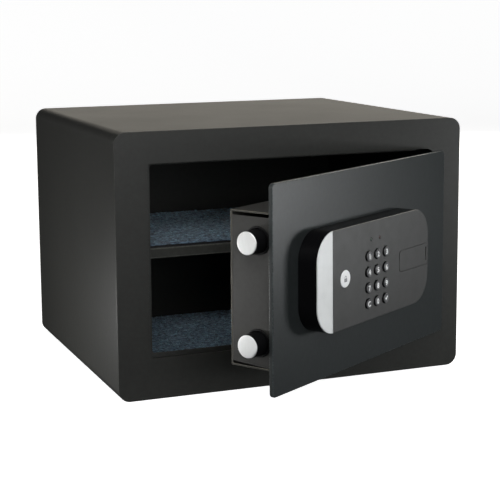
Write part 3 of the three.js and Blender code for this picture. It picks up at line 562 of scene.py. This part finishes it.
def make_strands(name, low, high):
    """Loose fibres that lie on the felt, each a thin three-sided tube, thinner at its ends."""
    width, length, joints = high.x - low.x, high.y - low.y, 4
    count = int(STRANDS_PER_M2 * width * length)
    reach = rng.uniform(*STRAND_REACH, count)
    angle = rng.uniform(0, 2 * math.pi, count)
    bend = rng.normal(0, 0.5, count)
    x = rng.uniform(low.x + STRAND_MARGIN, high.x - STRAND_MARGIN, count)
    y = rng.uniform(low.y + STRAND_MARGIN, high.y - STRAND_MARGIN, count)
    tone = np.clip(rng.normal(0.36, 0.34, count), 0, 1)
    rise = rng.uniform(0.0001, 0.0007, count)
    points = np.zeros((count, joints, 3, 3))
    for k in range(joints):
        t = 2 * k / (joints - 1) - 1
        heading = angle + bend * t
        px = np.clip(x + reach * t * np.cos(heading), low.x, high.x)
        py = np.clip(y + reach * t * np.sin(heading), low.y, high.y)
        pz = high.z - MAT_DEPTH * (1 + felt_height(px, py)) + rise * (1 - 1.6 * t * t)
        thin = STRAND_RADIUS * (1 - 0.6 * t * t)
        for c in range(3):
            turn = 2 * math.pi * c / 3
            sideways = thin * math.cos(turn)
            points[:, k, c, 0] = px - sideways * np.sin(heading)
            points[:, k, c, 1] = py + sideways * np.cos(heading)
            points[:, k, c, 2] = pz + thin * math.sin(turn)
    faces = []
    for s in range(count):
        first = s * joints * 3
        for k in range(joints - 1):
            for c in range(3):
                a, b = first + 3 * k + c, first + 3 * k + (c + 1) % 3
                faces.append((a, b, b + 3, a + 3))
        last = first + 3 * (joints - 1)
        faces += [(first + 2, first + 1, first), (last, last + 1, last + 2)]
    mesh = bpy.data.meshes.new(name)
    mesh.from_pydata(points.reshape(-1, 3).tolist(), [], faces)
    tones = mesh.attributes.new("tone", "FLOAT", "POINT")
    tones.data.foreach_set("value", np.repeat(tone, joints * 3).astype(np.float32))
    piece = bpy.data.objects.new(name, mesh)
    bpy.context.scene.collection.objects.link(piece)
    mesh.materials.append(FELT_STRAND)
    mesh.shade_smooth()
    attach(piece, "body")
    return piece


# --------------------------------------------------------------------- door
DOOR_CORNERS = (0.004, 0.005, 0.005, 0.004)
DOOR_FRONT_EDGE, DOOR_REAR_EDGE = 0.0008, 0.0006
CASE_EDGE_RADIUS = 0.0005
CABLE_HOLE = (-0.026, 0.008)  # place along the door and radius
BARREL_CLEARANCE = 0.0003


def make_door():
    low, high = closed_box("door_plate")
    barrel_low, barrel_high = closed_box("override_barrel")
    x, z = centre_of("override_barrel")
    radius = (barrel_high.x - barrel_low.x) / 2 + BARREL_CLEARANCE
    holes = [crisp(circle(x, z, radius)), crisp(circle(CABLE_HOLE[0], z, CABLE_HOLE[1]))]
    outline = rounded(low.x, low.z, high.x, high.z, DOOR_CORNERS)
    rims = edges(low.y, high.y, DOOR_FRONT_EDGE, DOOR_REAR_EDGE, 4)
    plate = slab("plate", (outline, holes, rims))
    add_piece("door_leaf", plate, [DOOR_COAT, DOOR_EDGE], "door", ["door_plate"], on_door=True)

    finish_node("lock_case", [CASE_COAT, CASE_EDGE], CASE_EDGE_RADIUS, 3)
    finish_node("case_cover", [CASE_COAT, COVER_EDGE_METAL], CASE_EDGE_RADIUS, 3)
    for node in ("hinge_arm_top", "hinge_arm_bottom", "gear_motor", "override_barrel"):
        finish_node(node, ZINC, 0.00025)
    finish_node("bolt_carriage", ZINC, 0.0002)
    finish_node("override_cam", ZINC)
    finish_node("override_plug", BRASS, 0.0002)
    finish_node("drive_pinion", BRASS, 0.0001, 1)
    finish_node("battery_holder", BLACK_PLASTIC)
    finish_node("battery_cover", BLACK_PLASTIC)
    finish_node("circuit_board", BOARD, 0.0001, 1)
    for i in range(1, 5):
        low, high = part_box(f"battery_{i}")
        finish_node(f"battery_{i}", cell_sleeve(f"cell_sleeve_{i}", low.z, high.z), 0.0002)


BOLT_FILLET = 0.001
BUSH_BORE, BUSH_SLEEVE, BUSH_LIP, BUSH_EDGE = 0.0004, 0.0013, 0.0009, 0.00035


def make_bolts():
    """Pins with a plated end face, each in a flanged bush. Behind the end face the shank is near-black, a
    painted dark reflection and shadow on the chromed pin.
    """
    for level in ("upper", "lower"):
        low, high = closed_box(f"bolt_{level}")
        centre = (low.x, (low.y + high.y) / 2, (low.z + high.z) / 2)
        radius, length = (high.z - low.z) / 2, high.x - low.x
        profile = [(0, 0)] + arc((radius - BOLT_FILLET, BOLT_FILLET), BOLT_FILLET, -90, 0, 6)
        profile += [(radius, length), (0, length)]
        bolt = lathe(f"bolt_{level}", profile, centre, (1, 0, 0), 64)
        # painted dark reflection and shadow: every face behind the end face's fillet takes the near-black
        # shank material
        shank = [int(p.center.x > low.x + BOLT_FILLET * 0.5) for p in bolt.polygons]
        bolt.polygons.foreach_set("material_index", shank)
        add_piece(f"bolt_pin_{level}", bolt, [CHROME, BOLT_SHANK_PAINTED_DARK], "bolts",
                  [f"bolt_{level}"], on_door=True)

        low, high = closed_box(f"bolt_bush_{level}")
        flange, bore, sleeve = (high.z - low.z) / 2, radius + BUSH_BORE, radius + BUSH_SLEEVE
        profile = [(bore, BUSH_EDGE), (bore + BUSH_EDGE, 0)]
        profile += arc((flange - BUSH_EDGE, BUSH_EDGE), BUSH_EDGE, -90, 0)
        profile += [(flange, BUSH_LIP), (sleeve, BUSH_LIP), (sleeve, high.x - low.x)]
        profile += [(bore, high.x - low.x), (bore, BUSH_EDGE)]
        bush = lathe(f"bush_{level}", profile, (low.x, centre[1], centre[2]), (1, 0, 0), 64)
        add_piece(f"bush_{level}", bush, BLACK_PLASTIC, "door",
                  [f"bolt_bush_{level}"], on_door=True)


SCREW_SHANK, SCREW_HEAD, SCREW_BRIM, SCREW_ROUND, SCREW_CROWN = 0.0015, 0.0022, 0.0008, 0.0009, 0.0012
RECESS_LONG, RECESS_THIN, RECESS_DEPTH = 0.0021, 0.00035, 0.0014
DRILL_OVERSHOOT = 0.001


def make_screws():
    """Pan heads with a cross recess on the rear of the lock case."""
    for i in range(1, 5):
        low, high = closed_box(f"case_screw_{i}")
        x, z = centre_of(f"case_screw_{i}")
        radius, head = (high.x - low.x) / 2, high.y - SCREW_HEAD
        profile = [(0, low.y - head), (SCREW_SHANK, low.y - head), (SCREW_SHANK, 0), (radius, 0)]
        profile += arc((radius - SCREW_ROUND, SCREW_BRIM), SCREW_ROUND, 0, 60)
        profile += [(SCREW_CROWN, SCREW_HEAD - 0.0001), (0, SCREW_HEAD)]
        screw = lathe("screw", profile, (x, head, z), (0, 1, 0), 32)
        depth = [(0, high.y - RECESS_DEPTH), (0, high.y + DRILL_OVERSHOOT)]
        arms = []
        for wide, tall in ((RECESS_LONG, RECESS_THIN), (RECESS_THIN, RECESS_LONG)):
            arm = rounded(x - wide, z - tall, x + wide, z + tall, 0.0001, 2)
            arms.append(slab("arm", (arm, [], depth)))
        add_piece(f"screw_{i}", cut(screw, *arms), ZINC, "door", [f"case_screw_{i}"], on_door=True)


RESET_STEM, RESET_FLANGE, RESET_ROUND, RESET_DISH = 0.0029, 0.0012, 0.0006, 0.0003


def make_reset():
    """A red button with a shallow dish, standing in the rear cover."""
    low, high = closed_box("reset_button")
    x, z = centre_of("reset_button")
    flange, length = (high.x - low.x) / 2, high.y - low.y
    profile = [(0, 0), (flange, 0), (flange, RESET_FLANGE), (RESET_STEM, RESET_FLANGE)]
    profile += arc((RESET_STEM - RESET_ROUND, length - RESET_ROUND), RESET_ROUND, 0, 90)
    profile += [(0.001, length - RESET_DISH * 2 / 3), (0, length - RESET_DISH)]
    button = lathe("reset", profile, (x, low.y, z), (0, 1, 0), 32)
    add_piece("reset_cap", button, RESET_RED, "reset", ["reset_button"], on_door=True)


# ------------------------------------------------------------ control panel
PANEL_RADIUS = 0.025
PANEL_WALL = 0.0022
FACE_THICKNESS = 0.0012  # satin face over the gloss body
WEB_FROM_FACE = (0.0009, 0.002)  # the gloss body's web under the face
KEY_RADIUS = 0.0043
KEY_HOLE = 0.0049
LED_RADIUS = 0.0013
BARREL_HOLE = 0.0088
BADGE_HOLE = 0.0077
COVER_CORNER = 0.004
COVER_SEAM = 0.0009
COVER_SHEET = 0.001  # the cover's front sheet, which the grip slot cuts through
GRIP_FROM_RIGHT, GRIP_HALF = 0.0037, (0.0008, 0.0065)
SEAM = 0.0003
CUT_CLEAR = 0.01  # how far a cutter reaches past what it cuts
KEYS = {
    **{f"key_{n}": str(n) for n in range(10)},
    "key_clear": "C",
    "key_enter": "tick",
}


def panel_openings():
    """The holes that the keys and the lamps stand in."""
    keys = [circle(*centre_of(key), KEY_HOLE) for key in KEYS]
    lamps = [circle(*centre_of(lamp), LED_RADIUS + SEAM, 20) for lamp in ("led_green", "led_red")]
    return keys + lamps


def make_panel_shell():
    """The gloss body: walls, a web with openings, and a slot for the sliding cover."""
    low, high = closed_box("panel_housing")
    back = low.y + FACE_THICKNESS
    outline = rounded(low.x, low.z, high.x, high.z, PANEL_RADIUS, 20)
    inner = rounded(low.x + PANEL_WALL, low.z + PANEL_WALL, high.x - PANEL_WALL, high.z - PANEL_WALL,
                    PANEL_RADIUS - PANEL_WALL, 20)
    holes = panel_openings() + [circle(*centre_of("override_barrel"), BARREL_HOLE)]
    shell = slab(
        "shell",
        (outline, [inner], edges(back + 0.0001, high.y, 0.0002, 0.0004)),
        (inner, holes, [(0, back + WEB_FROM_FACE[0]), (0, back + WEB_FROM_FACE[1])]),
    )
    cover_low, cover_high = closed_box("slide_cover")
    bottom, top = cover_low.z - SEAM, cover_high.z + SEAM
    way_out = rounded(high.x - 2 * PANEL_WALL, bottom, high.x + CUT_CLEAR, top, 0, 1)
    depth = [(0, low.y - CUT_CLEAR), (0, cover_high.y + 0.00005)]
    shell = cut(shell, slab("way_out", (way_out, [], depth)))
    add_piece("panel_body", shell, PANEL_GLOSS, "door", ["panel_housing"], on_door=True)


def make_panel_face():
    low, high = closed_box("panel_housing")
    back = low.y + FACE_THICKNESS
    left = closed_box("end_band")[1].x + SEAM
    outline = rounded(left, low.z, high.x, high.z, [0, PANEL_RADIUS, PANEL_RADIUS, 0], 20)
    badge = circle(*centre_of("badge"), BADGE_HOLE)
    holes = [crisp(hole, 0.25) for hole in panel_openings() + [badge]]
    face = slab("face", (outline, holes, edges(low.y, back, 0.0005)))
    cover_low, cover_high = closed_box("slide_cover")
    corner = COVER_CORNER + SEAM
    bottom, top = cover_low.z - SEAM / 2, cover_high.z + SEAM
    notch = rounded(cover_low.x - COVER_SEAM, bottom, high.x + CUT_CLEAR, top, [corner, 0, 0, corner])
    depth = [(0, low.y - CUT_CLEAR), (0, back + CUT_CLEAR)]
    face = cut(face, slab("notch", (notch, [], depth)))
    add_piece("panel_face", face, [PANEL_FACE, PANEL_EDGE_HIGHLIGHT], "door", on_door=True)


def make_silver_end():
    low, high = closed_box("end_band")
    front = closed_box("panel_housing")[0].y
    outline = rounded(low.x, low.z, high.x, high.z, [PANEL_RADIUS, 0, 0, PANEL_RADIUS], 24)
    strip = slab("strip", (outline, [], edges(front, high.y, 0.0004)))
    add_piece("silver_end", strip, SILVER, "door", ["end_band"], on_door=True)


def make_lock_cover():
    """The sliding cover of the emergency lock, with a slot for a fingertip."""
    low, high = closed_box("slide_cover")
    outline = rounded(low.x, low.z, high.x, high.z, [COVER_CORNER, 0, 0, COVER_CORNER])
    x, z = high.x - GRIP_FROM_RIGHT, centre_of("panel_housing")[1]
    wide, tall = GRIP_HALF
    grip = rounded(x - wide, z - tall, x + wide, z + tall, 0.0004, 4)
    step = low.y + COVER_SHEET
    sheet = slab(
        "sheet",
        (outline, [crisp(grip, 0.5)], edges(low.y, step, 0.0002)),
        (outline, [], [(0, step), (0, high.y)]),
    )
    add_piece("lock_cover", sheet, [PANEL_FACE, PANEL_EDGE_HIGHLIGHT], "emergency_cover",
              ["slide_cover"], on_door=True)


BADGE_ROUND = 0.0004
PADLOCK_HALF, PADLOCK_TALL, PADLOCK_BELOW = 0.0021, 0.003, 0.0027
KEYHOLE_RADIUS = 0.00045
BOW_RADIUS, BOW_THICK, BOW_RISE = 0.0015, 0.0005, 0.0008


def make_badge():
    """A plain white disc with a small padlock on it."""
    low, high = closed_box("badge")
    x, z = centre_of("badge")
    radius, thick = (high.x - low.x) / 2, high.y - low.y
    profile = [(0, 0), (radius - 0.0006, 0.0)]
    profile += arc((radius - BADGE_ROUND, BADGE_ROUND), BADGE_ROUND, -90, 0)
    profile += [(radius, thick), (0, thick)]
    disc = lathe("disc", profile, (x, low.y, z), (0, 1, 0), 64)
    add_piece("badge_disc", disc, BADGE_WHITE, "door", ["badge"], on_door=True)

    base = z - PADLOCK_BELOW
    shoulder = base + PADLOCK_TALL
    body = rounded(x - PADLOCK_HALF, base, x + PADLOCK_HALF, shoulder, 0.0004, 4)
    keyhole = circle(x, base + PADLOCK_TALL * 0.55, KEYHOLE_RADIUS, 16)
    inside = BOW_RADIUS - BOW_THICK

    def bow(radius, start, end):
        return [(x + radius * math.cos(a), shoulder + BOW_RISE + radius * math.sin(a))
                for a in np.linspace(start, end, 13)]

    def shackle(inset):
        outer, inner = bow(BOW_RADIUS, 0, math.pi), bow(inside, math.pi, 0)
        return [(x + BOW_RADIUS, shoulder), *outer, (x - BOW_RADIUS, shoulder),
                (x - inside, shoulder), *inner, (x + inside, shoulder)]

    depth = [(0, low.y - 0.00008), (0, low.y + 0.0002)]
    symbol = slab("symbol", (body, [keyhole], depth), (shackle, [], depth))
    add_piece("badge_symbol", symbol, BADGE_INK, "door", on_door=True)


LEGEND_HEIGHT = 0.0046
LEGEND_DEPTH = 0.0003
CAPITAL_SHARE = 0.7  # a capital's height over the font's size
TICK = [(-0.0021, 0.0001), (-0.0014, 0.0008), (-0.0006, -0.0002),
        (0.0015, 0.0022), (0.0022, 0.0015), (-0.0006, -0.0016)]


def legend_mesh(mark, x, z, y):
    """A digit or sign that stands a hair proud of a key's dished crown."""
    if mark == "tick":
        points = [(x + right, z + up) for right, up in reversed(TICK)]
        return slab("tick", (lambda inset: points, [], [(0, y), (0, y + LEGEND_DEPTH)]))
    text = bpy.data.curves.new("text", "FONT")
    text.body, text.size = mark, LEGEND_HEIGHT / CAPITAL_SHARE
    text.align_x = "CENTER"
    text.extrude, text.offset = LEGEND_DEPTH / 2, 0.0001
    text.resolution_u = 6
    holder = bpy.data.objects.new("text", text)
    bpy.context.scene.collection.objects.link(holder)
    view = bpy.context.evaluated_depsgraph_get()
    mesh = bpy.data.meshes.new_from_object(holder.evaluated_get(view))
    bpy.data.objects.remove(holder)
    rows = ((1, 0, 0, x), (0, 0, -1, y + LEGEND_DEPTH / 2), (0, 1, 0, z - LEGEND_HEIGHT / 2), (0, 0, 0, 1))
    mesh.transform(Matrix(rows))
    return mend(mesh)


KEY_DISH, KEY_CROWN, KEY_FLANGE = 0.00035, 0.0006, 0.0011


def make_keys():
    for node, mark in KEYS.items():
        low, high = closed_box(node)
        x, z = centre_of(node)
        flange, length = (high.x - low.x) / 2, high.y - low.y
        profile = [(0, KEY_DISH), (0.0014, KEY_DISH * 0.9), (0.0026, KEY_DISH * 0.45)]
        profile += [(KEY_RADIUS - KEY_CROWN - 0.0007, 0.00006)]
        profile += arc((KEY_RADIUS - KEY_CROWN, KEY_CROWN), KEY_CROWN, -90, 0)
        rim = length - KEY_FLANGE
        profile += [(KEY_RADIUS, rim), (flange, rim), (flange, length), (0, length)]
        cap = lathe(node, profile, (x, low.y, z), (0, 1, 0), 40)
        # painted shade: faces deeper than the crown, the key's sides and flange, take the black plastic;
        # the top takes the key plastic
        sides = [int(p.center.y > low.y + KEY_CROWN) for p in cap.polygons]
        cap.polygons.foreach_set("material_index", sides)
        body, top_and_painted_shade_sides = node + "_cap", [KEY_PLASTIC, BLACK_PLASTIC]
        add_piece(node + "_button", cap, top_and_painted_shade_sides, body, [node], on_door=True)
        legend = legend_mesh(mark, x, z, low.y + 0.00004)
        add_piece(node + "_legend", legend, LEGEND_WHITE, body, on_door=True)


LED_FLANGE = 0.0015


def make_leds():
    lamps = (("led_green", GREEN_LENS, "lens_green"), ("led_red", RED_LENS, "lens_red"))
    for node, material, slot in lamps:
        low, high = closed_box(node)
        x, z = centre_of(node)
        flange, length = (high.x - low.x) / 2, high.y - low.y
        rim = length - LED_FLANGE
        profile = [(0, 0), (0.0005, 0.00004), (0.0009, 0.0002), (0.00115, 0.0005), (LED_RADIUS, 0.0009)]
        profile += [(LED_RADIUS, rim), (flange, rim), (flange, length), (0, length)]
        bulb = lathe(node, profile, (x, low.y, z), (0, 1, 0), 24)
        add_piece(node + "_lens", bulb, material, "door", [node], on_door=True)


# -------------------------------------------------------------------- stage
FLOOR_FLAT, FLOOR_SWEEP, FLOOR_WALL = 2.6, 0.9, 2.4
FLOOR_BELOW = 0.0002  # keeps the floor clear of the safe's underside
FLOOR_GLOW = 0.85


def make_stage():
    """A round pale floor whose rim sweeps up, so that every view has the same ground."""
    profile = [(0, 0), (0.8, 0), (1.6, 0)]
    profile += arc((FLOOR_FLAT, FLOOR_SWEEP), FLOOR_SWEEP, -90, 0, 16)
    profile += [(FLOOR_FLAT + FLOOR_SWEEP, FLOOR_WALL)]
    floor = lathe("floor", profile, (0, 0, -FLOOR_BELOW), (0, 0, 1), 96)
    floor.shade_smooth()
    surface = Surface("floor", (0.86, 0.86, 0.86), 0.7)
    surface.shader.inputs["Emission Color"].default_value = (1, 1, 1, 1)
    surface.shader.inputs["Emission Strength"].default_value = FLOOR_GLOW
    surface.bump(surface.noise(0.003, 2), 0.05, 0.0002)
    floor.materials.append(surface.material)
    piece = bpy.data.objects.new("floor", floor)
    piece.visible_glossy = piece.visible_diffuse = False
    bpy.context.scene.collection.objects.link(piece)

    world = bpy.data.worlds.new("world")
    world.use_nodes = True
    sky = world.node_tree.nodes["Background"]
    sky.inputs["Color"].default_value = (0.93, 0.96, 1.0, 1)
    sky.inputs["Strength"].default_value = 0.03
    bpy.context.scene.world = world
    bpy.context.scene.view_settings.view_transform = "Standard"


def softbox(name, place, aim, size, power, color):
    """An area lamp of that size in metres and power in watts, unseen by the camera."""
    data = bpy.data.lights.new(name, "AREA")
    data.shape = "RECTANGLE"
    data.size, data.size_y = size
    data.energy, data.color = power, color
    light = bpy.data.objects.new(name, data)
    light.location = place
    light.rotation_euler = (Vector(aim) - Vector(place)).to_track_quat("-Z", "Y").to_euler()
    light.visible_camera = False
    bpy.context.scene.collection.objects.link(light)


def make_lights():
    middle = (0, -0.1, 0.12)
    softbox("left", (-1.9, 0.2, 0.5), middle, (1.4, 0.8), 9, (1.0, 0.99, 0.95))
    softbox("front", (-0.2, -1.9, 0.45), middle, (0.9, 0.4), 10, (0.96, 0.98, 1.0))
    softbox("back", (0.9, 2.0, 0.6), middle, (1.8, 0.7), 5.8, (1.0, 0.94, 0.82))
    softbox("door_high", (-0.35, -0.95, 0.6), middle, (0.3, 0.3), 1.3, (1.0, 1.0, 1.0))
    softbox("door_right", (0.65, -0.5, 0.13), middle, (0.2, 0.1), 2.1, (0.97, 0.99, 1.0))
    softbox("case_high", (-0.26, -0.44, 0.36), (-0.13, -0.28, 0.19), (0.06, 0.06), 0.35, (1.0, 1.0, 1.0))
    softbox("rim", (1.5, 0.6, 1.2), middle, (0.6, 0.6), 12, (1.0, 0.95, 0.86))
    softbox("rear", (-1.9, 1.1, 0.5), middle, (1.0, 0.6), 2.5, (1.0, 1.0, 1.0))
    softbox("rear_right", (1.7, 1.5, 0.5), middle, (0.8, 0.6), 4, (1.0, 0.97, 0.9))
    softbox("side_low", (-0.4, -0.06, 0.035), (-0.176, -0.1, 0.05), (0.3, 0.05), 0.75, (1.0, 1.0, 1.0))
    softbox("top", (0.0, 0.0, 2.2), middle, (2.8, 2.8), 14, (1.0, 1.0, 1.0))
    softbox("fill", (0.1, -1.6, 0.75), (-0.08, 0.0, 0.12), (0.6, 0.4), 2.6, (0.97, 0.99, 1.0))


make_camera()
make_body()
make_mat("shelf_felt", "shelf_mat")
make_mat("floor_felt", "floor_mat")
make_door()
make_bolts()
make_screws()
make_reset()
make_panel_shell()
make_panel_face()
make_silver_end()
make_lock_cover()
make_badge()
make_keys()
make_leds()
make_stage()
make_lights()
